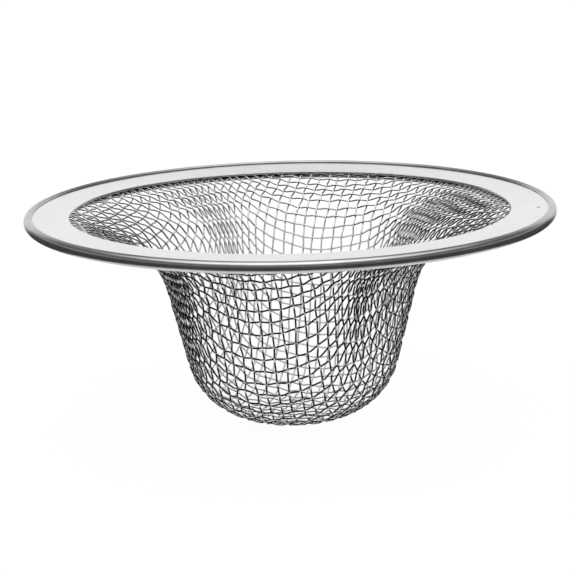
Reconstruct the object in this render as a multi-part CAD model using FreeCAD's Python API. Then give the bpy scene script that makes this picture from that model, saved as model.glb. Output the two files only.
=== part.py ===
import FreeCAD, Part
import cmath
import itertools
import math
import os

# Sink strainer: a basket pressed from woven steel wire, its edge clamped in a rim of two sheet rings.
# Lengths are in millimetres. Z is the basket's axis, and z = 0 is the lowest point of the basket.
# The warp wires run along Y and the weft wires along X, and the middle two cross a little off the axis.

# Rim: the lower ring's edge is rolled up into a round bead and hemmed over the top ring
rim_diameter = 70.0
rim_height = 28.7
flange_width = 5.9
lip_width = 1.1
lip_overlap = 0.3
lip_edge_round = 0.1
seat_setback = 0.7
sheet = 0.3
fit_gap = 0.02

# Wire cloth, clamped between the two rings
wire = 0.23
pitch = 1.45
weave_gap = 0.015
trim_setback = 0.3
cloth_slack = 0.06
weave_offset_x = 1.6
weave_offset_y = -0.5

# Pressed shape of the cloth's middle surface; a corner is where two straight runs would meet
bend_setback = 0.1
bend_round = 3.0
flare_width = 11.25
flare_drop = 4.33
mouth_round = 11.2
wall_taper = 5.65
floor_round = 9.6

# Draw of the wires in pressing: floor, floor round, wall, mouth round, flare, bend and edge
stretch_shares = (1.0, 1.14, 1.23, 1.14, 1.05, 1.0, 1.0)

# Search for each crossing, in shares of the pitch
probe_share = 1e-5
solved_share = 1e-8
largest_step_share = 0.3
most_steps = 60

# Pitches of cloth worked out beyond the trimmed edge
spare_pitches = 3

# The most sheared cell that the crimp follows, against the one whose wires would jam
shear_limit_share = 1.1

# Wires are numbered both ways from the middle two, and a node holds each wire with its opposite number.
# The short outer wires share nodes, each of which runs on to the next one's first number.
lone_pairs = 20
outer_group_starts = (20, 22, 24, 27)

axis_start = FreeCAD.Vector(0, 0, 0)
axis = FreeCAD.Vector(0, 0, 1)
full_turn_degrees = 360
square_cell_span = math.sqrt(2)

opening_diameter = rim_diameter - 2 * flange_width
lip_diameter = rim_diameter - 2 * lip_width
top_ring_diameter = lip_diameter + 2 * lip_overlap
seat_diameter = opening_diameter + 2 * seat_setback
trim_diameter = lip_diameter - 2 * trim_setback
spread_diameter = trim_diameter + 2 * spare_pitches * pitch
bend_diameter = opening_diameter + 2 * bend_setback
mouth_diameter = bend_diameter - 2 * flare_width
floor_diameter = mouth_diameter - 2 * wall_taper

cloth_room = 2 * (wire + weave_gap) + cloth_slack
bead_bottom = rim_height - sheet - cloth_room - sheet
lip_top = rim_height + fit_gap + sheet
clamp_height = rim_height - sheet - cloth_room / 2
clamp_crimp = (cloth_room - wire - fit_gap) / 2
wire_spacing = wire + weave_gap
jammed_span = 2 * wire_spacing / pitch
weave_offset = complex(weave_offset_x, weave_offset_y)


def crimp(span):
    """Half the height between two crossing wires that clear each other, for a cell this wide across."""
    open_span = max(span, jammed_span * shear_limit_share)
    return wire_spacing * open_span / math.sqrt(open_span ** 2 - jammed_span ** 2) / 2


floor_height = crimp(square_cell_span) + wire / 2


def add_line(edges, start, end):
    if not start.isEqual(end, fit_gap * solved_share):
        edges.append(Part.LineSegment(start, end).toShape())


def rounded_edges(corners, radii):
    """Edges along a path of corners, each inner corner rounded by its radius or left sharp at 0."""
    edges = []
    start = corners[0]
    for before, corner, after, radius in zip(corners, corners[1:], corners[2:], radii):
        back = (before - corner).normalize()
        ahead = (after - corner).normalize()
        half_angle = back.getAngle(ahead) / 2
        cut = radius / math.tan(half_angle)
        arc_start = corner + back * cut
        arc_end = corner + ahead * cut
        add_line(edges, start, arc_start)
        if radius:
            middle = corner + (back + ahead).normalize() * (radius / math.sin(half_angle) - radius)
            edges.append(Part.Arc(arc_start, middle, arc_end).toShape())
        start = arc_end
    add_line(edges, start, corners[-1])
    return edges


def section(diameter, height):
    return FreeCAD.Vector(diameter / 2, 0, height)


def turned(corners, radii):
    """A solid of revolution from a closed outline, whose first corner is sharp."""
    outline = Part.Wire(rounded_edges(corners + corners[:1], radii))
    return Part.Face(outline).revolve(axis_start, axis, full_turn_degrees)


def top_ring():
    underside = rim_height - sheet
    corners = [section(opening_diameter, underside),
               section(top_ring_diameter, underside),
               section(top_ring_diameter, rim_height),
               section(opening_diameter, rim_height)]
    return turned(corners, (0, 0, 0))


def lower_ring():
    """Seat, bead and lip in one sheet, the bead a half circle seen in section."""
    bead_round = (lip_top - bead_bottom) / 2
    inner_round = bead_round - sheet
    bead_inside_diameter = rim_diameter - 2 * sheet
    corners = [section(seat_diameter, bead_bottom),
               section(rim_diameter, bead_bottom),
               section(rim_diameter, lip_top),
               section(lip_diameter, lip_top),
               section(lip_diameter, lip_top - sheet),
               section(bead_inside_diameter, lip_top - sheet),
               section(bead_inside_diameter, bead_bottom + sheet),
               section(seat_diameter, bead_bottom + sheet)]
    return turned(corners, (bead_round, bead_round, lip_edge_round, 0, inner_round, inner_round, 0))


def cloth_profile():
    corners = [section(0, floor_height),
               section(floor_diameter, floor_height),
               section(mouth_diameter, clamp_height - flare_drop),
               section(bend_diameter, clamp_height),
               section(spread_diameter, clamp_height)]
    return rounded_edges(corners, (floor_round, mouth_round, bend_round))


profile = cloth_profile()
cloth_reach = sum(edge.Length / stretch for edge, stretch in zip(profile, stretch_shares))


def profile_at(length):
    """Point and slope of the profile at a length of cloth from the middle."""
    for edge, stretch in zip(profile, stretch_shares):
        if length * stretch <= edge.Length:
            break
        length -= edge.Length / stretch
    parameter = edge.getParameterByLength(min(length * stretch, edge.Length))
    return edge.valueAt(parameter), edge.tangentAt(parameter)


def separation(first, second):
    """Cloth between two places, each a length of cloth from the middle and a bearing."""
    first_radius = profile_at(first[0])[0].x
    second_radius = profile_at(second[0])[0].x
    around = 2 * math.sqrt(first_radius * second_radius) * math.sin((first[1] - second[1]) / 2)
    return math.hypot(first[0] - second[0], around)


def flat_place(place):
    """A place's offset from the axis, seen from above, as a complex number."""
    return cmath.rect(profile_at(place[0])[0].x, place[1])


def solved_place(misses, length, bearing):
    """The place where two misses vanish, by Newton's method from a guess."""
    probe = pitch * probe_share
    largest_step = pitch * largest_step_share
    for _ in range(most_steps):
        here = misses((length, bearing))
        if max(abs(here[0]), abs(here[1])) < pitch * solved_share:
            return length, bearing
        radius = profile_at(length)[0].x
        further = misses((length + probe, bearing))
        aside = misses((length, bearing + probe / radius))
        out = [(there - miss) / probe for there, miss in zip(further, here)]
        across = [(there - miss) / probe for there, miss in zip(aside, here)]
        determinant = out[0] * across[1] - out[1] * across[0]
        step_out = (across[0] * here[1] - across[1] * here[0]) / determinant
        step_across = (out[1] * here[0] - out[0] * here[1]) / determinant
        ease = largest_step / max(largest_step, abs(step_out), abs(step_across))
        length += ease * step_out
        bearing += ease * step_across / radius
    return None


def next_in_plane(last, heading):
    """The place one pitch further along a middle wire, which stays in an upright plane."""
    def misses(place):
        return separation(last, place) - pitch, ((flat_place(place) - weave_offset) / heading).imag

    guess = flat_place(last) + heading * pitch
    length_guess = last[0] + abs(guess) - abs(flat_place(last))
    return solved_place(misses, length_guess, cmath.phase(guess))


def next_crossing(first, second, corner):
    """The place one pitch of cloth from two neighbouring crossings, across the cell from a third."""
    def misses(place):
        return separation(first, place) - pitch, separation(second, place) - pitch

    guess = flat_place(first) + flat_place(second) - flat_place(corner)
    return solved_place(misses, first[0] + second[0] - corner[0], cmath.phase(guess))


def drape_middle_wires(cloth):
    for column_step, row_step in ((1, 0), (-1, 0), (0, 1), (0, -1)):
        for number in itertools.count():
            last = cloth[number * column_step, number * row_step]
            if last[0] + pitch > cloth_reach:
                break
            following = ((number + 1) * column_step, (number + 1) * row_step)
            cloth[following] = next_in_plane(last, complex(column_step, row_step))


def drape_quarter(cloth, column_sign, row_sign):
    """Adds the crossings between two halves of the middle wires, row by row, as far as the cloth reaches."""
    for column in itertools.count(column_sign, column_sign):
        if (column, 0) not in cloth:
            break
        for row in itertools.count(row_sign, row_sign):
            if (column - column_sign, row) not in cloth:
                break
            place = next_crossing(cloth[column - column_sign, row],
                                  cloth[column, row - row_sign],
                                  cloth[column - column_sign, row - row_sign])
            if place is None or place[0] > cloth_reach:
                break
            cloth[column, row] = place


def draped_cloth():
    """All crossings: column and row to a length of cloth from the axis and a bearing."""
    cloth = {(0, 0): (abs(weave_offset) / stretch_shares[0], cmath.phase(weave_offset))}
    drape_middle_wires(cloth)
    for column_sign, row_sign in itertools.product((1, -1), repeat=2):
        drape_quarter(cloth, column_sign, row_sign)
    return cloth


cloth = draped_cloth()
last_number = max(abs(number) for crossing in cloth for number in crossing)


def on_cloth(column, row):
    """Point of the cloth's middle surface at a crossing, and the normal into the basket."""
    length, bearing = cloth[column, row]
    place, slope = profile_at(length)
    toward = FreeCAD.Vector(math.cos(bearing), math.sin(bearing), 0)
    return toward * place.x + axis * place.z, axis * slope.x - toward * slope.z


def wire_direction(column, row, column_step, row_step):
    ends = [(column + sign * column_step, row + sign * row_step) for sign in (1, -1)]
    known = [end if end in cloth else (column, row) for end in ends]
    return (on_cloth(*known[0])[0] - on_cloth(*known[1])[0]).normalize()


def crossing_crimp(column, row):
    """Offset of each wire from the middle surface: more where the cell is sheared, flat in the rim."""
    warp = wire_direction(column, row, 0, 1)
    weft = wire_direction(column, row, 1, 0)
    offset = crimp(min((warp - weft).Length, (warp + weft).Length))
    if abs(flat_place(cloth[column, row])) > bend_diameter / 2 - bend_round:
        return min(offset, clamp_crimp)
    return offset


def wire_point(column, row, warp):
    """Centre of a warp or weft wire at a crossing, and the cloth's normal there."""
    point, normal = on_cloth(column, row)
    over = 1 if (column + row) % 2 == 0 else -1
    side = over if warp else -over
    return point + normal * (side * crossing_crimp(column, row)), normal


def half_wire(number, warp, sign):
    """Centres and normals from a wire's middle to the cloth's trimmed edge."""
    trim_radius = trim_diameter / 2
    stations = []
    for step in itertools.count():
        column, row = (number, sign * step) if warp else (sign * step, number)
        centre, normal = wire_point(column, row, warp)
        radius = math.hypot(centre.x, centre.y)
        if radius > trim_radius:
            inner, inner_normal = stations[-1]
            inner_radius = math.hypot(inner.x, inner.y)
            end_run = (centre - inner) * ((trim_radius - inner_radius) / (radius - inner_radius))
            if end_run.Length > wire / 2:
                stations.append((inner + end_run, inner_normal))
            break
        stations.append((centre, normal))
    return stations


def woven_wire(number, warp):
    """One wire as a tube, straight from crossing to crossing."""
    stations = half_wire(number, warp, -1)[:0:-1] + half_wire(number, warp, 1)
    centres = [centre for centre, _ in stations]
    rings = []
    for before, (centre, normal), after in zip(centres[:1] + centres, stations, centres[1:] + centres[-1:]):
        heading = (after - before).normalize()
        ring = Part.Circle(centre, heading, wire / 2)
        ring.XAxis = normal - heading * normal.dot(heading)
        rings.append(ring.toShape())
    sides = [Part.makeRuledSurface(ring, following) for ring, following in zip(rings, rings[1:])]
    ends = [Part.Face(Part.Wire([ring])) for ring in (rings[0], rings[-1])]
    return Part.Solid(Part.Shell(sides + ends))


def is_held(number, warp):
    """True for a wire that crosses the other family's middle wire inside the cloth's trimmed edge."""
    crossing = (number, 0) if warp else (0, number)
    return crossing in cloth and abs(flat_place(cloth[crossing])) < trim_diameter / 2 - pitch


def wire_group(numbers, warp):
    """The wires of these numbers on both sides of the middle."""
    both_sides = sorted({sign * number for number in numbers for sign in (1, -1)})
    return [woven_wire(number, warp) for number in both_sides if is_held(number, warp)]


def export_wires(family, warp):
    starts = [*range(lone_pairs), *outer_group_starts]
    for start, end in zip(starts, starts[1:] + [last_number + 1]):
        wires = wire_group(range(start, end), warp)
        if wires:
            Part.makeCompound(wires).exportStep(f"parts/{family}_wires_{start:02d}.step")


os.makedirs("parts", exist_ok=True)
top_ring().exportStep("parts/top_rim_ring.step")
lower_ring().exportStep("parts/lower_rim_ring.step")
export_wires("warp", True)
export_wires("weft", False)
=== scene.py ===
import cmath
import functools
import itertools
import math

import bpy
from mathutils import Matrix, Vector, noise


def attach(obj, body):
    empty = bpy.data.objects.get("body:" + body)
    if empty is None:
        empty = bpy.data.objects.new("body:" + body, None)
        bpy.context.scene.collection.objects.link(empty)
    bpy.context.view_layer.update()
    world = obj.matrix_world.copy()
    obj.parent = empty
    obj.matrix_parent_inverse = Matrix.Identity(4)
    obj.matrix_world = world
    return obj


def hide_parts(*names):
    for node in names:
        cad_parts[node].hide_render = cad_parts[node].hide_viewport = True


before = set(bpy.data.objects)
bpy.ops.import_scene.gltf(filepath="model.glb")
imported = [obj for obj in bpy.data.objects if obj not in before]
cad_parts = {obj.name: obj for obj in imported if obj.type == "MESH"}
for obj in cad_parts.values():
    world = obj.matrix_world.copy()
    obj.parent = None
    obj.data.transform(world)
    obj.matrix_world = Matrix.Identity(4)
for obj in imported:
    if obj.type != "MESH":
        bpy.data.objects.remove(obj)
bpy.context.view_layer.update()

# Sink strainer: a basket pressed from woven steel wire, its edge clamped in a rim of two sheet rings.
# Lengths are in metres. Z is the basket's axis, and z = 0 is the lowest point of the basket.
# The warp wires run along Y and the weft wires along X, and the middle two cross a little off the axis.

mm = 0.001

# Rim: the lower ring's edge is rolled up into a round bead and hemmed over the top ring
rim_diameter = 70.0 * mm
rim_height = 28.7 * mm
flange_width = 5.9 * mm
lip_width = 1.1 * mm
lip_overlap = 0.3 * mm
lip_edge_round = 0.15 * mm
seat_setback = 0.7 * mm
sheet = 0.3 * mm
fit_gap = 0.02 * mm
burr_round = 0.03 * mm
rolled_edge_round = 0.1 * mm

# Crown of the lip: its highest ring, how far it falls to each side, and its roundings
crown_setback = 0.75 * mm
lip_sag = 0.15 * mm
shoulder_drop = 0.2 * mm
crown_round = 0.25 * mm
shoulder_round = 0.57 * mm

# Set of the rim after clamping: its inner edge hangs low, most at the back
dish = 0.25 * mm
dish_lean = 0.25 * mm

# Wire cloth, clamped between the two rings
wire = 0.23 * mm
pitch = 1.45 * mm
weave_gap = 0.015 * mm
trim_setback = 0.3 * mm
cloth_slack = 0.06 * mm
weave_offset_x = 1.6 * mm
weave_offset_y = -0.5 * mm

# Pressed shape of the cloth's middle surface; a corner is where two straight runs would meet
bend_setback = 0.1 * mm
bend_round = 3.0 * mm
flare_width = 11.25 * mm
flare_drop = 4.33 * mm
mouth_round = 11.2 * mm
wall_taper = 5.65 * mm
floor_round = 9.6 * mm

# Draw of the wires in pressing: floor, floor round, wall, mouth round, flare, bend and edge
stretch_shares = (1.0, 1.14, 1.23, 1.14, 1.05, 1.0, 1.0)

# Search for each crossing, in shares of the pitch
probe_share = 1e-5
solved_share = 1e-8
largest_step_share = 0.3
most_steps = 60

# Pitches of cloth worked out beyond the trimmed edge
spare_pitches = 3

# The most sheared cell that the crimp follows, against the one whose wires would jam
shear_limit_share = 1.1

# Wires are numbered both ways from the middle two, and a node holds each wire with its opposite number.
# The short outer wires share nodes, each of which runs on to the next one's first number.
lone_pairs = 20
outer_group_starts = (20, 22, 24, 27)

# Slide of each wire from its even place: how far, and how fast it changes along a wire and from wire to wire
wire_drift = 0.32 * mm
along_frequency = 0.37
across_frequency = 1.73
weft_noise_offset = 40.5

# Fineness of the meshes
wire_sides = 8
steps_per_cell = 4
ring_segments = 360
arc_steps = 10
straight_step = 0.25 * mm

# Bearing of the strainer's front, which faces the camera; the rim leans and is brushed square to it
front_bearing = math.radians(15.0)

# Look of the wires. A pair is a range, or the values in the basket and in the flare under the rim.
# Outward is 1 on the side of a wire that faces out of the basket and -1 on the side that faces into it.
rising = (0, 1)
falling = (1, 0)
flare_heights = (19.0 * mm, 25.0 * mm)
clamp_heights = (26.9 * mm, 27.5 * mm)
# Outside knuckles painted bright: partly rubbed wear, partly a painted highlight
wear_and_highlight_cells = (0.08, 0.24)
wear_and_highlight_outward = (0.1, 0.6)
wear_and_highlight_tone = 0.7
# Painted shade: the side of a wire that faces out of the basket is near black, its tone varying at random in
# patches
outside_shade_tone = 0.012
patch_shares = (0.75, 1.35)
patch_scale = 420
patch_noise = (0.3, 0.7)
# Painted shade on the outside flank of the wires in the flare, set for each family
warp_flank_shade_tone = 0.02
weft_flank_shade_tone = 0.01
# Painted light: the side of a wire that faces into the basket is light, lighter still in the flare
lit_side_tones = (0.8, 0.94)
lit_end_outward = (-0.6, -0.95)
shade_start_outward = (0.0, -0.55)
metal_outward = (-0.6, 0.0)
lit_metal_shares = (0.45, 1)
wire_roughness = (0.5, 0.14)
wire_grain_scale = 9000
wire_grain_depth = 0.01 * mm
wire_grain_strength = 0.3

# Look of the flange: brushing, clouds and one small pit
brushing_scale = (60, 5200, 60)
brushing_detail = 4.0
brushing_noise = (0.3, 0.7)
brushing_tones = (0.74, 0.84)
brushing_depth = 0.004 * mm
brushing_strength = 0.25
flange_rough_noise = (0.25, 0.75)
flange_roughness = (0.12, 0.22)
flange_cloud_scale = 160
flange_cloud_noise = (0.35, 0.75)
flange_cloud_share = 0.12
flange_cloud_tone = 0.6
pit_x = 32.47 * mm
pit_y = 3.47 * mm
pit_radius = 0.42 * mm
pit_tone = 0.03

# Look of the bead: fine lines round the rim, and clouds
bead_line_scale = 16000
bead_line_detail = 3.0
bead_line_noise = (0.3, 0.7)
bead_line_depth = 0.003 * mm
bead_line_strength = 0.15
bead_roughness = (0.26, 0.36)
bead_cloud_scale = 220
bead_cloud_noise = (0.3, 0.7)
bead_tones = (0.56, 0.66)

# Studio: a white floor and surround, a soft light overhead, and cards that only reflections show
floor_half_size = 2000.0 * mm
floor_drop = 0.2 * mm
floor_tone = 0.8
floor_shade = 0.1
floor_glow = 0.92
surround_light = 0.9
softbox_size = 600.0 * mm
softbox_height = 700.0 * mm
softbox_power = 0.8
card_start = 50.0 * mm
card_reach = 450.0 * mm
card_corner = 60.0 * mm
card_lift = 1.0 * mm
card_height = 545.0 * mm
card_half_sweep = math.radians(140)
card_segments = 24
card_tone = 0.045
card_roughness = 0.9
grey_low = 90.0 * mm
grey_high = 205.0 * mm
grey_tone = 0.45
belt_low = 232.0 * mm
belt_high = 536.0 * mm

# Camera, found from the rim's circles in the photograph
camera_distance = 215.0 * mm
camera_lens = 101.57
camera_elevation = math.radians(11.0)
camera_heading = math.radians(15.19)
camera_pitch = math.radians(13.87)
camera_roll = math.radians(-1.44)

up = Vector((0, 0, 1))
square_cell_span = math.sqrt(2)

opening_diameter = rim_diameter - 2 * flange_width
lip_diameter = rim_diameter - 2 * lip_width
top_ring_diameter = lip_diameter + 2 * lip_overlap
seat_diameter = opening_diameter + 2 * seat_setback
trim_diameter = lip_diameter - 2 * trim_setback
spread_diameter = trim_diameter + 2 * spare_pitches * pitch
bend_diameter = opening_diameter + 2 * bend_setback
mouth_diameter = bend_diameter - 2 * flare_width
floor_diameter = mouth_diameter - 2 * wall_taper

cloth_room = 2 * (wire + weave_gap) + cloth_slack
bead_bottom = rim_height - sheet - cloth_room - sheet
lip_top = rim_height + fit_gap + sheet
clamp_height = rim_height - sheet - cloth_room / 2
clamp_crimp = (cloth_room - wire - fit_gap) / 2
wire_spacing = wire + weave_gap
jammed_span = 2 * wire_spacing / pitch
weave_offset = complex(weave_offset_x, weave_offset_y)


# Paths in section, whose points are complex numbers: the radius and the height

def section(diameter, height):
    return complex(diameter / 2, height)


def direction(run):
    return cmath.rect(1, cmath.phase(run))


def straight_run(start, end):
    """Length of a straight run, and a function from a share of it to the point and slope there."""
    def at(share):
        return start + (end - start) * share, direction(end - start)
    return abs(end - start), at


def arc_run(centre, start, end):
    """Length of an arc, and a function from a share of it to the point and slope there."""
    sweep = cmath.phase((end - centre) / (start - centre))

    def at(share):
        spoke = (start - centre) * cmath.rect(1, sweep * share)
        return centre + spoke, direction(spoke * 1j * sweep)
    return abs(sweep * (start - centre)), at


def rounded_runs(corners, radii):
    """Runs along a path of corners, each inner corner rounded by its radius."""
    runs = []
    start = corners[0]
    for before, corner, after, radius in zip(corners, corners[1:], corners[2:], radii):
        back = direction(before - corner)
        ahead = direction(after - corner)
        half_angle = abs(cmath.phase(ahead / back)) / 2
        cut = radius / math.tan(half_angle)
        centre = corner + direction(back + ahead) * radius / math.sin(half_angle)
        runs.append(straight_run(start, corner + back * cut))
        runs.append(arc_run(centre, corner + back * cut, corner + ahead * cut))
        start = corner + ahead * cut
    runs.append(straight_run(start, corners[-1]))
    return runs


def outline(corners, radii):
    """Points round a closed section, which starts and ends in the middle of a straight side."""
    points = []
    runs = rounded_runs(corners + corners[:1], radii)
    for number, (length, at) in enumerate(runs):
        steps = arc_steps if number % 2 else math.ceil(length / straight_step - solved_share)
        points.extend(at(step / steps)[0] for step in range(steps))
    return points


# The cloth, draped as a net whose crossings stay one pitch apart

def crimp(span):
    """Half the height between two crossing wires that clear each other, for a cell this wide across."""
    open_span = max(span, jammed_span * shear_limit_share)
    return wire_spacing * open_span / math.sqrt(open_span ** 2 - jammed_span ** 2) / 2


floor_height = crimp(square_cell_span) + wire / 2
profile = rounded_runs([section(0, floor_height),
                        section(floor_diameter, floor_height),
                        section(mouth_diameter, clamp_height - flare_drop),
                        section(bend_diameter, clamp_height),
                        section(spread_diameter, clamp_height)],
                       (floor_round, mouth_round, bend_round))
cloth_reach = sum(length / stretch for (length, _), stretch in zip(profile, stretch_shares))


def profile_at(length):
    """Point and slope of the profile at a length of cloth from the middle."""
    for (run_length, at), stretch in zip(profile, stretch_shares):
        if length * stretch <= run_length:
            break
        length -= run_length / stretch
    return at(min(length * stretch / run_length, 1))


def separation(first, second):
    """Cloth between two places, each a length of cloth from the middle and a bearing."""
    first_radius = profile_at(first[0])[0].real
    second_radius = profile_at(second[0])[0].real
    around = 2 * math.sqrt(first_radius * second_radius) * math.sin((first[1] - second[1]) / 2)
    return math.hypot(first[0] - second[0], around)


def flat_place(place):
    """A place's offset from the axis, seen from above, as a complex number."""
    return cmath.rect(profile_at(place[0])[0].real, place[1])


def solved_place(misses, length, bearing):
    """The place where two misses vanish, by Newton's method from a guess."""
    probe = pitch * probe_share
    largest_step = pitch * largest_step_share
    for _ in range(most_steps):
        here = misses((length, bearing))
        if max(abs(here[0]), abs(here[1])) < pitch * solved_share:
            return length, bearing
        radius = profile_at(length)[0].real
        further = misses((length + probe, bearing))
        aside = misses((length, bearing + probe / radius))
        out = [(there - miss) / probe for there, miss in zip(further, here)]
        across = [(there - miss) / probe for there, miss in zip(aside, here)]
        determinant = out[0] * across[1] - out[1] * across[0]
        step_out = (across[0] * here[1] - across[1] * here[0]) / determinant
        step_across = (out[1] * here[0] - out[0] * here[1]) / determinant
        ease = largest_step / max(largest_step, abs(step_out), abs(step_across))
        length += ease * step_out
        bearing += ease * step_across / radius
    return None


def next_in_plane(last, heading):
    """The place one pitch further along a middle wire, which stays in an upright plane."""
    def misses(place):
        return separation(last, place) - pitch, ((flat_place(place) - weave_offset) / heading).imag

    guess = flat_place(last) + heading * pitch
    length_guess = last[0] + abs(guess) - abs(flat_place(last))
    return solved_place(misses, length_guess, cmath.phase(guess))


def next_crossing(first, second, corner):
    """The place one pitch of cloth from two neighbouring crossings, across the cell from a third."""
    def misses(place):
        return separation(first, place) - pitch, separation(second, place) - pitch

    guess = flat_place(first) + flat_place(second) - flat_place(corner)
    return solved_place(misses, first[0] + second[0] - corner[0], cmath.phase(guess))


def drape_middle_wires(cloth):
    for column_step, row_step in ((1, 0), (-1, 0), (0, 1), (0, -1)):
        for number in itertools.count():
            last = cloth[number * column_step, number * row_step]
            if last[0] + pitch > cloth_reach:
                break
            following = ((number + 1) * column_step, (number + 1) * row_step)
            cloth[following] = next_in_plane(last, complex(column_step, row_step))


def drape_quarter(cloth, column_sign, row_sign):
    """Adds the crossings between two halves of the middle wires, row by row, as far as the cloth reaches."""
    for column in itertools.count(column_sign, column_sign):
        if (column, 0) not in cloth:
            break
        for row in itertools.count(row_sign, row_sign):
            if (column - column_sign, row) not in cloth:
                break
            place = next_crossing(cloth[column - column_sign, row],
                                  cloth[column, row - row_sign],
                                  cloth[column - column_sign, row - row_sign])
            if place is None or place[0] > cloth_reach:
                break
            cloth[column, row] = place


def draped_cloth():
    """All crossings: column and row to a length of cloth from the axis and a bearing."""
    cloth = {(0, 0): (abs(weave_offset) / stretch_shares[0], cmath.phase(weave_offset))}
    drape_middle_wires(cloth)
    for column_sign, row_sign in itertools.product((1, -1), repeat=2):
        drape_quarter(cloth, column_sign, row_sign)
    return cloth


cloth = draped_cloth()
last_number = max(abs(number) for crossing in cloth for number in crossing)


@functools.cache
def on_cloth(column, row):
    """Point of the cloth's middle surface at a crossing, and the normal into the basket."""
    length, bearing = cloth[column, row]
    place, slope = profile_at(length)
    toward = Vector((math.cos(bearing), math.sin(bearing), 0))
    return toward * place.real + up * place.imag, up * slope.real - toward * slope.imag


def wire_direction(column, row, column_step, row_step):
    ends = [(column + sign * column_step, row + sign * row_step) for sign in (1, -1)]
    known = [end if end in cloth else (column, row) for end in ends]
    return (on_cloth(*known[0])[0] - on_cloth(*known[1])[0]).normalized()


def crossing_crimp(column, row):
    """Offset of each wire from the middle surface: more where the cell is sheared, flat in the rim."""
    warp = wire_direction(column, row, 0, 1)
    weft = wire_direction(column, row, 1, 0)
    offset = crimp(min((warp - weft).length, (warp + weft).length))
    if on_cloth(column, row)[0].xy.length > bend_diameter / 2 - bend_round:
        return min(offset, clamp_crimp)
    return offset


# How the made thing departs from the drawn one

def drift(along, across, offset):
    """How far a wire has slid sideways at a crossing, steady along the wire and unlike its neighbours."""
    return wire_drift * noise.noise(Vector((along * along_frequency, across * across_frequency, offset)))


@functools.cache
def drifted(column, row):
    """A crossing's point and normal with both wires slid a little from their even places."""
    point, normal = on_cloth(column, row)
    slid = wire_direction(column, row, 1, 0) * drift(row, column, 0)
    slid += wire_direction(column, row, 0, 1) * drift(column, row, weft_noise_offset)
    return point + slid, normal


def settled(point):
    """A point of the drawn strainer as the clamped rim has set."""
    radius = point.xy.length
    backward = math.sin(math.atan2(point.y, point.x) - front_bearing)
    lip_radius, inner_radius = lip_diameter / 2, opening_diameter / 2
    if radius > inner_radius:
        share = min(max((lip_radius - radius) / (lip_radius - inner_radius), 0), 1)
    else:
        share = max((radius - mouth_diameter / 2) / (inner_radius - mouth_diameter / 2), 0)
    return point - up * ((dish + dish_lean * backward) * share)


# Meshes

def finished_piece(name, node, slot, material, points, faces, marks=None):
    """A smooth mesh object that stands for a node; marks are named values at each point."""
    mesh = bpy.data.meshes.new(name)
    mesh.from_pydata(points, [], faces)
    mesh.polygons.foreach_set("use_smooth", [True] * len(mesh.polygons))
    for mark, values in (marks or {}).items():
        mesh.attributes.new(mark, "FLOAT", "POINT").data.foreach_set("value", values)
    mesh.materials.append(material)
    piece = bpy.data.objects.new(name, mesh)
    bpy.context.scene.collection.objects.link(piece)
    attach(piece, "root")
    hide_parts(node)


def turned(section_points):
    """Points and faces of a closed section turned about the axis."""
    points = []
    faces = []
    count = len(section_points)
    for segment in range(ring_segments):
        turn = Matrix.Rotation(2 * math.pi * segment / ring_segments, 3, "Z")
        points.extend(settled(turn @ Vector((place.real, 0, place.imag))) for place in section_points)
        for side in range(count):
            here, beside = segment * count + side, segment * count + (side + 1) % count
            ahead = ((segment + 1) % ring_segments) * count
            faces.append((here, beside, ahead + (side + 1) % count, ahead + side))
    return points, faces


def top_ring_section():
    """Flat sheet, its inner edge rolled down."""
    underside = rim_height - sheet
    middle_diameter = (opening_diameter + top_ring_diameter) / 2
    corners = [section(middle_diameter, underside),
               section(top_ring_diameter, underside),
               section(top_ring_diameter, rim_height),
               section(opening_diameter, rim_height),
               section(opening_diameter, underside)]
    return outline(corners, (burr_round, burr_round, rolled_edge_round, burr_round))


def lower_ring_section():
    """Seat, bead and lip in one sheet, the lip falling to both sides of its crown."""
    bead_round = (lip_top - bead_bottom) / 2
    inner_round = bead_round - sheet
    bead_inside_diameter = rim_diameter - 2 * sheet
    corners = [section((seat_diameter + lip_diameter) / 2, bead_bottom),
               section(rim_diameter, bead_bottom),
               section(rim_diameter, lip_top - shoulder_drop),
               section(rim_diameter - 2 * crown_setback, lip_top),
               section(lip_diameter, lip_top - lip_sag),
               section(lip_diameter, lip_top - sheet),
               section(bead_inside_diameter, lip_top - sheet),
               section(bead_inside_diameter, bead_bottom + sheet),
               section(seat_diameter, bead_bottom + sheet),
               section(seat_diameter, bead_bottom)]
    return outline(corners, (bead_round, shoulder_round, crown_round, lip_edge_round, burr_round,
                             inner_round, inner_round, burr_round, burr_round))


def crossings_of(number, warp):
    """Column and row of each crossing along a wire, up to the first one past the trimmed edge at each end."""
    halves = []
    for sign in (-1, 1):
        half = []
        for step in itertools.count():
            half.append((number, sign * step) if warp else (sign * step, number))
            if drifted(*half[-1])[0].xy.length > trim_diameter / 2:
                break
        halves.append(half)
    return halves[0][:0:-1] + halves[1]


def smooth_between(before, start, end, after, share):
    """A point on the smooth curve that passes through start and end."""
    bend = 2 * before - 5 * start + 4 * end - after
    twist = 3 * start - before - 3 * end + after
    return start + ((end - before) * share + bend * share ** 2 + twist * share ** 3) / 2


def wire_stations(number, warp):
    """Centre, normal and distance in cells from the nearest outside knuckle, all along a wire."""
    crossings = crossings_of(number, warp)
    places = [drifted(*crossing) for crossing in crossings]
    inside = [((column + row) % 2 == 0) == warp for column, row in crossings]
    offsets = [crossing_crimp(*crossing) * (1 if is_inside else -1)
               for crossing, is_inside in zip(crossings, inside)]
    stations = []
    last = len(places) - 1
    for cell in range(last):
        around = [places[min(max(cell + step, 0), last)][0] for step in (-1, 0, 1, 2)]
        for step in range(steps_per_cell):
            share = step / steps_per_cell
            wave_share = (1 - math.cos(math.pi * share)) / 2
            normal = places[cell][1].lerp(places[cell + 1][1], share).normalized()
            offset = offsets[cell] + (offsets[cell + 1] - offsets[cell]) * wave_share
            centre = settled(smooth_between(*around, share)) + normal * offset
            if centre.xy.length < trim_diameter / 2:
                stations.append((centre, normal, share if not inside[cell] else 1 - share))
    return stations


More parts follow.
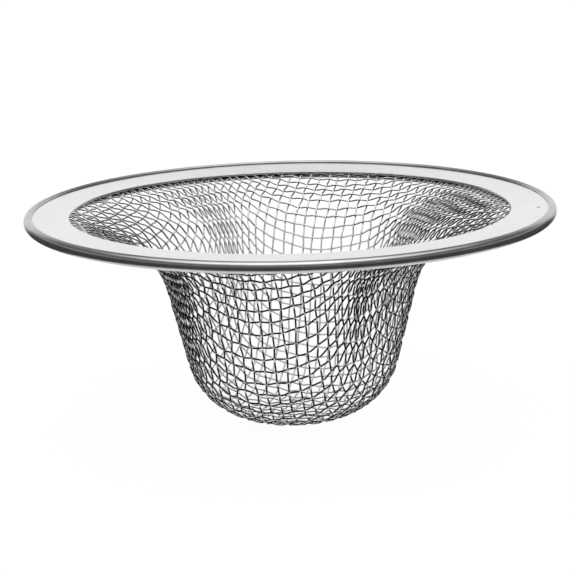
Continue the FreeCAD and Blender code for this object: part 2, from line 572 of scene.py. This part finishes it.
def tube(stations):
    """Points, faces and marks of a round wire along its stations."""
    points = []
    knuckle = []
    outward = []
    centres = [centre for centre, _, _ in stations]
    befores = centres[:1] + centres
    afters = centres[1:] + centres[-1:]
    for before, (centre, normal, mark), after in zip(befores, stations, afters):
        heading = (after - before).normalized()
        inward = (normal - heading * normal.dot(heading)).normalized()
        aside = heading.cross(inward)
        for side in range(wire_sides):
            angle = 2 * math.pi * side / wire_sides
            points.append(centre + (inward * math.cos(angle) + aside * math.sin(angle)) * (wire / 2))
            knuckle.append(mark)
            outward.append(-math.cos(angle))
    faces = [tuple(reversed(range(wire_sides))), tuple(range(len(points) - wire_sides, len(points)))]
    for start in range(0, len(points) - wire_sides, wire_sides):
        ahead = start + wire_sides
        for side in range(wire_sides):
            beside = (side + 1) % wire_sides
            faces.append((start + side, start + beside, ahead + beside, ahead + side))
    return points, faces, knuckle, outward


def is_held(number, warp):
    """True for a wire that crosses the other family's middle wire inside the cloth's trimmed edge."""
    crossing = (number, 0) if warp else (0, number)
    return crossing in cloth and abs(flat_place(cloth[crossing])) < trim_diameter / 2 - pitch


def weave_wires(family, warp, material):
    """One piece for each node of a family's wires."""
    starts = [*range(lone_pairs), *outer_group_starts]
    for start, end in zip(starts, starts[1:] + [last_number + 1]):
        points, faces, knuckle, outward = [], [], [], []
        both_sides = sorted({sign * number for number in range(start, end) for sign in (1, -1)})
        for number in [number for number in both_sides if is_held(number, warp)]:
            wire_points, wire_faces, wire_knuckle, wire_outward = tube(wire_stations(number, warp))
            faces.extend(tuple(len(points) + corner for corner in face) for face in wire_faces)
            points.extend(wire_points)
            knuckle.extend(wire_knuckle)
            outward.extend(wire_outward)
        finished_piece(f"woven_{family}_{start:02d}", f"{family}_wires_{start:02d}", f"{family}_wire",
                       material, points, faces, {"knuckle": knuckle, "outward": outward})


# Materials

def new_metal(name):
    """A metal material with its node tree and shader."""
    material = bpy.data.materials.new(name)
    material.use_nodes = True
    shader = material.node_tree.nodes["Principled BSDF"]
    shader.inputs["Metallic"].default_value = 1
    return material, material.node_tree, shader


def add_node(tree, kind, inputs=None, **settings):
    """A node with its settings, and its inputs set to values or linked to sockets."""
    node = tree.nodes.new(kind)
    for name, value in settings.items():
        setattr(node, name, value)
    for name, value in (inputs or {}).items():
        if isinstance(value, bpy.types.NodeSocket):
            tree.links.new(value, node.inputs[name])
        else:
            node.inputs[name].default_value = value
    return node


def ranged(tree, value, span, to_span):
    """A value eased from one range to another."""
    node = add_node(tree, "ShaderNodeMapRange",
                    {"Value": value, "From Min": span[0], "From Max": span[1],
                     "To Min": to_span[0], "To Max": to_span[1]},
                    interpolation_type="SMOOTHSTEP")
    return node.outputs["Result"]


def multiplied(tree, first, second):
    return add_node(tree, "ShaderNodeMath", {0: first, 1: second}, operation="MULTIPLY").outputs[0]


def mixed(tree, share, first, second):
    node = add_node(tree, "ShaderNodeMix", {"Factor": share}, data_type="RGBA")
    colour_sockets = [socket for socket in node.inputs if socket.type == "RGBA"]
    for socket, colour in zip(colour_sockets, (first, second)):
        if isinstance(colour, bpy.types.NodeSocket):
            tree.links.new(colour, socket)
        else:
            socket.default_value = colour
    return next(socket for socket in node.outputs if socket.type == "RGBA")


def grey(level):
    return (level, level, level, 1)


def object_position(tree):
    return add_node(tree, "ShaderNodeTexCoord").outputs["Object"]


def speckle(tree, position, scale, detail=2.0):
    noise_node = add_node(tree, "ShaderNodeTexNoise", {"Vector": position, "Scale": scale, "Detail": detail})
    return noise_node.outputs[0]


def bumped(tree, shader, height, distance, strength):
    bump = add_node(tree, "ShaderNodeBump", {"Height": height, "Distance": distance, "Strength": strength})
    tree.links.new(bump.outputs["Normal"], shader.inputs["Normal"])


def wire_material(name, flank_shade_tone):
    """Drawn wire: painted shade outside and on its dark flank in the flare, knuckles painted bright as rubbed
    wear and a painted highlight, and painted light inside.
    """
    material, tree, shader = new_metal(name)
    position = object_position(tree)
    height = add_node(tree, "ShaderNodeSeparateXYZ", {0: position}).outputs[2]
    knuckle = add_node(tree, "ShaderNodeAttribute", attribute_name="knuckle").outputs["Fac"]
    outward = add_node(tree, "ShaderNodeAttribute", attribute_name="outward").outputs["Fac"]
    # Outside knuckles painted bright: partly rubbed wear, partly a painted highlight
    wear_and_highlight = multiplied(tree, ranged(tree, knuckle, wear_and_highlight_cells, falling),
                        ranged(tree, outward, wear_and_highlight_outward, rising))
    flared = multiplied(tree, ranged(tree, height, flare_heights, rising),
                        ranged(tree, height, clamp_heights, falling))
    # Painted shade on the side that faces out of the basket, with tone that varies at random in patches
    patchy = ranged(tree, speckle(tree, position, patch_scale), patch_noise, rising)
    patchy_shade = mixed(tree, patchy, *(grey(outside_shade_tone * share) for share in patch_shares))
    # In the flare the painted shade takes the flank's painted shade tone
    painted_shade = mixed(tree, flared, patchy_shade, grey(flank_shade_tone))
    # Painted light on the side that faces into the basket, lighter in the flare, blended with the painted
    # shade by outward
    lit_side = mixed(tree, flared, *map(grey, lit_side_tones))
    lit_end = ranged(tree, flared, rising, lit_end_outward)
    dull_start = ranged(tree, flared, rising, shade_start_outward)
    lit_and_shaded = mixed(tree, ranged(tree, outward, (lit_end, dull_start), rising), lit_side, painted_shade)
    tree.links.new(mixed(tree, wear_and_highlight, lit_and_shaded, grey(wear_and_highlight_tone)), shader.inputs["Base Color"])
    lit_metal = ranged(tree, flared, rising, lit_metal_shares)
    tree.links.new(ranged(tree, outward, metal_outward, (lit_metal, 1)), shader.inputs["Metallic"])
    tree.links.new(ranged(tree, flared, rising, wire_roughness), shader.inputs["Roughness"])
    bumped(tree, shader, speckle(tree, position, wire_grain_scale), wire_grain_depth, wire_grain_strength)
    return material


def flange_material():
    """Satin sheet with faint straight brushing, and one small pit."""
    material, tree, shader = new_metal("satin_sheet")
    position = object_position(tree)
    brushed_position = add_node(tree, "ShaderNodeMapping",
                                {"Vector": position, "Rotation": (0, 0, -front_bearing),
                                 "Scale": brushing_scale}).outputs[0]
    brushing = speckle(tree, brushed_position, 1, brushing_detail)
    clouds = speckle(tree, position, flange_cloud_scale)
    tone = mixed(tree, ranged(tree, brushing, brushing_noise, rising), *map(grey, brushing_tones))
    cloudy = ranged(tree, clouds, flange_cloud_noise, (0, flange_cloud_share))
    tone = mixed(tree, cloudy, tone, grey(flange_cloud_tone))
    pit_place = settled(Vector((pit_x, pit_y, rim_height)))
    pit_distance = add_node(tree, "ShaderNodeVectorMath", {0: position, 1: pit_place}, operation="DISTANCE")
    pit = ranged(tree, pit_distance.outputs["Value"], (pit_radius / 2, pit_radius), falling)
    tree.links.new(mixed(tree, pit, tone, grey(pit_tone)), shader.inputs["Base Color"])
    tree.links.new(ranged(tree, brushing, flange_rough_noise, flange_roughness), shader.inputs["Roughness"])
    bumped(tree, shader, brushing, brushing_depth, brushing_strength)
    return material


def bead_material():
    """Satin sheet with fine lines round the rim."""
    material, tree, shader = new_metal("polished_bead")
    position = object_position(tree)
    parts = add_node(tree, "ShaderNodeSeparateXYZ", {0: position}).outputs
    flat = add_node(tree, "ShaderNodeCombineXYZ", {0: parts[0], 1: parts[1]}).outputs[0]
    radius = add_node(tree, "ShaderNodeVectorMath", {0: flat}, operation="LENGTH").outputs["Value"]
    round_position = add_node(tree, "ShaderNodeCombineXYZ", {0: radius, 1: parts[2]}).outputs[0]
    lines = speckle(tree, round_position, bead_line_scale, bead_line_detail)
    clouds = speckle(tree, position, bead_cloud_scale)
    tone = mixed(tree, ranged(tree, clouds, bead_cloud_noise, rising), *map(grey, bead_tones))
    tree.links.new(tone, shader.inputs["Base Color"])
    tree.links.new(ranged(tree, lines, bead_line_noise, bead_roughness), shader.inputs["Roughness"])
    bumped(tree, shader, lines, bead_line_depth, bead_line_strength)
    return material


# Studio

def shown_rays(tree):
    """1 for the rays that show the surroundings: the camera's, reflections and what is seen through."""
    path = add_node(tree, "ShaderNodeLightPath").outputs
    glossy = add_node(tree, "ShaderNodeMath", {0: path["Is Camera Ray"], 1: path["Is Glossy Ray"]},
                      operation="MAXIMUM").outputs[0]
    return add_node(tree, "ShaderNodeMath", {0: glossy, 1: path["Is Transmission Ray"]},
                    operation="MAXIMUM").outputs[0]


def light_surround():
    world = bpy.data.worlds.new("white_surround")
    bpy.context.scene.world = world
    world.use_nodes = True
    tree = world.node_tree
    tree.nodes.clear()
    lighting = add_node(tree, "ShaderNodeBackground", {"Color": grey(1), "Strength": surround_light})
    shown = add_node(tree, "ShaderNodeBackground", {"Color": grey(1), "Strength": 1})
    mix = add_node(tree, "ShaderNodeMixShader",
                   {0: shown_rays(tree), 1: lighting.outputs[0], 2: shown.outputs[0]})
    add_node(tree, "ShaderNodeOutputWorld", {"Surface": mix.outputs[0]})


def floor_material():
    """White floor that keeps a faint shadow."""
    material = bpy.data.materials.new("white_floor")
    material.use_nodes = True
    tree = material.node_tree
    tree.nodes.clear()
    matt = add_node(tree, "ShaderNodeBsdfDiffuse", {"Color": grey(floor_tone)})
    faint = add_node(tree, "ShaderNodeBsdfDiffuse", {"Color": grey(floor_shade)})
    glow = add_node(tree, "ShaderNodeEmission", {"Color": grey(1), "Strength": floor_glow})
    shown = add_node(tree, "ShaderNodeAddShader", {0: faint.outputs[0], 1: glow.outputs[0]})
    mix = add_node(tree, "ShaderNodeMixShader",
                   {0: shown_rays(tree), 1: matt.outputs[0], 2: shown.outputs[0]})
    add_node(tree, "ShaderNodeOutputMaterial", {"Surface": mix.outputs[0]})
    return material


def stage_piece(name, material, points, faces):
    mesh = bpy.data.meshes.new(name)
    mesh.from_pydata(points, [], faces)
    mesh.materials.append(material)
    piece = bpy.data.objects.new(name, mesh)
    bpy.context.scene.collection.objects.link(piece)
    return piece


def lay_floor():
    corners = [(x * floor_half_size, y * floor_half_size, -floor_drop)
               for x, y in ((-1, -1), (1, -1), (1, 1), (-1, 1))]
    stage_piece("studio_floor", floor_material(), corners, [(0, 1, 2, 3)])


def card_material(name, tone):
    material = bpy.data.materials.new(name)
    material.use_nodes = True
    shader = material.node_tree.nodes["Principled BSDF"]
    shader.inputs["Base Color"].default_value = grey(tone)
    shader.inputs["Roughness"].default_value = card_roughness
    return material


def stand_card(name, material, profile_points, middle_bearing, half_sweep):
    """A card bent round the strainer, which only reflections show."""
    points = []
    faces = []
    count = len(profile_points)
    for segment in range(card_segments + 1):
        bearing = middle_bearing + half_sweep * (2 * segment / card_segments - 1)
        points.extend((reach * math.sin(bearing), -reach * math.cos(bearing), height)
                      for reach, height in profile_points)
    for start in range(0, card_segments * count, count):
        faces.extend((start + step, start + step + 1, start + count + step + 1, start + count + step)
                     for step in range(count - 1))
    card = stage_piece(name, material, points, faces)
    card.visible_camera = False
    card.visible_shadow = False
    card.visible_diffuse = False


def stand_cards():
    """A dark card lies before the strainer and stands up behind the camera, and a belt closes it at the back.

    Part of its height is grey, so that the flange isn't black from behind.
    """
    dark = card_material("dark_card", card_tone)
    stand_card("dark_front_card", dark, [(card_start, card_lift), (card_reach - card_corner, card_lift),
                                         (card_reach, card_corner), (card_reach, grey_low)],
               front_bearing, card_half_sweep)
    stand_card("grey_front_card", card_material("grey_card", grey_tone),
               [(card_reach, grey_low), (card_reach, grey_high)], front_bearing, card_half_sweep)
    stand_card("dark_front_belt", dark, [(card_reach, grey_high), (card_reach, card_height)],
               front_bearing, card_half_sweep)
    stand_card("dark_back_belt", dark, [(card_reach, belt_low), (card_reach, belt_high)],
               front_bearing + math.pi, math.pi - card_half_sweep)


def hang_softbox():
    lamp = bpy.data.lights.new("softbox", "AREA")
    lamp.shape = "DISK"
    lamp.size = softbox_size
    lamp.energy = softbox_power
    softbox = bpy.data.objects.new("softbox", lamp)
    softbox.location = (0, 0, softbox_height)
    bpy.context.scene.collection.objects.link(softbox)


def place_camera():
    lens = bpy.data.cameras.new("camera")
    lens.lens = camera_lens
    camera = bpy.data.objects.new("camera", lens)
    reach = camera_distance * math.cos(camera_elevation)
    place = Vector((reach * math.sin(front_bearing), -reach * math.cos(front_bearing),
                    rim_height + camera_distance * math.sin(camera_elevation)))
    camera.matrix_world = (Matrix.Translation(place)
                           @ Matrix.Rotation(camera_heading, 4, "Z")
                           @ Matrix.Rotation(math.pi / 2 - camera_pitch, 4, "X")
                           @ Matrix.Rotation(camera_roll, 4, "Z"))
    bpy.context.scene.collection.objects.link(camera)
    bpy.context.scene.camera = camera


finished_piece("satin_top_ring", "top_rim_ring", "rim_sheet",
               flange_material(), *turned(top_ring_section()))
finished_piece("polished_lower_ring", "lower_rim_ring", "rim_bead",
               bead_material(), *turned(lower_ring_section()))
weave_wires("warp", True, wire_material("warp_wire_steel", warp_flank_shade_tone))
weave_wires("weft", False, wire_material("weft_wire_steel", weft_flank_shade_tone))
light_surround()
lay_floor()
stand_cards()
hang_softbox()
place_camera()
bpy.context.scene.view_settings.view_transform = "Standard"
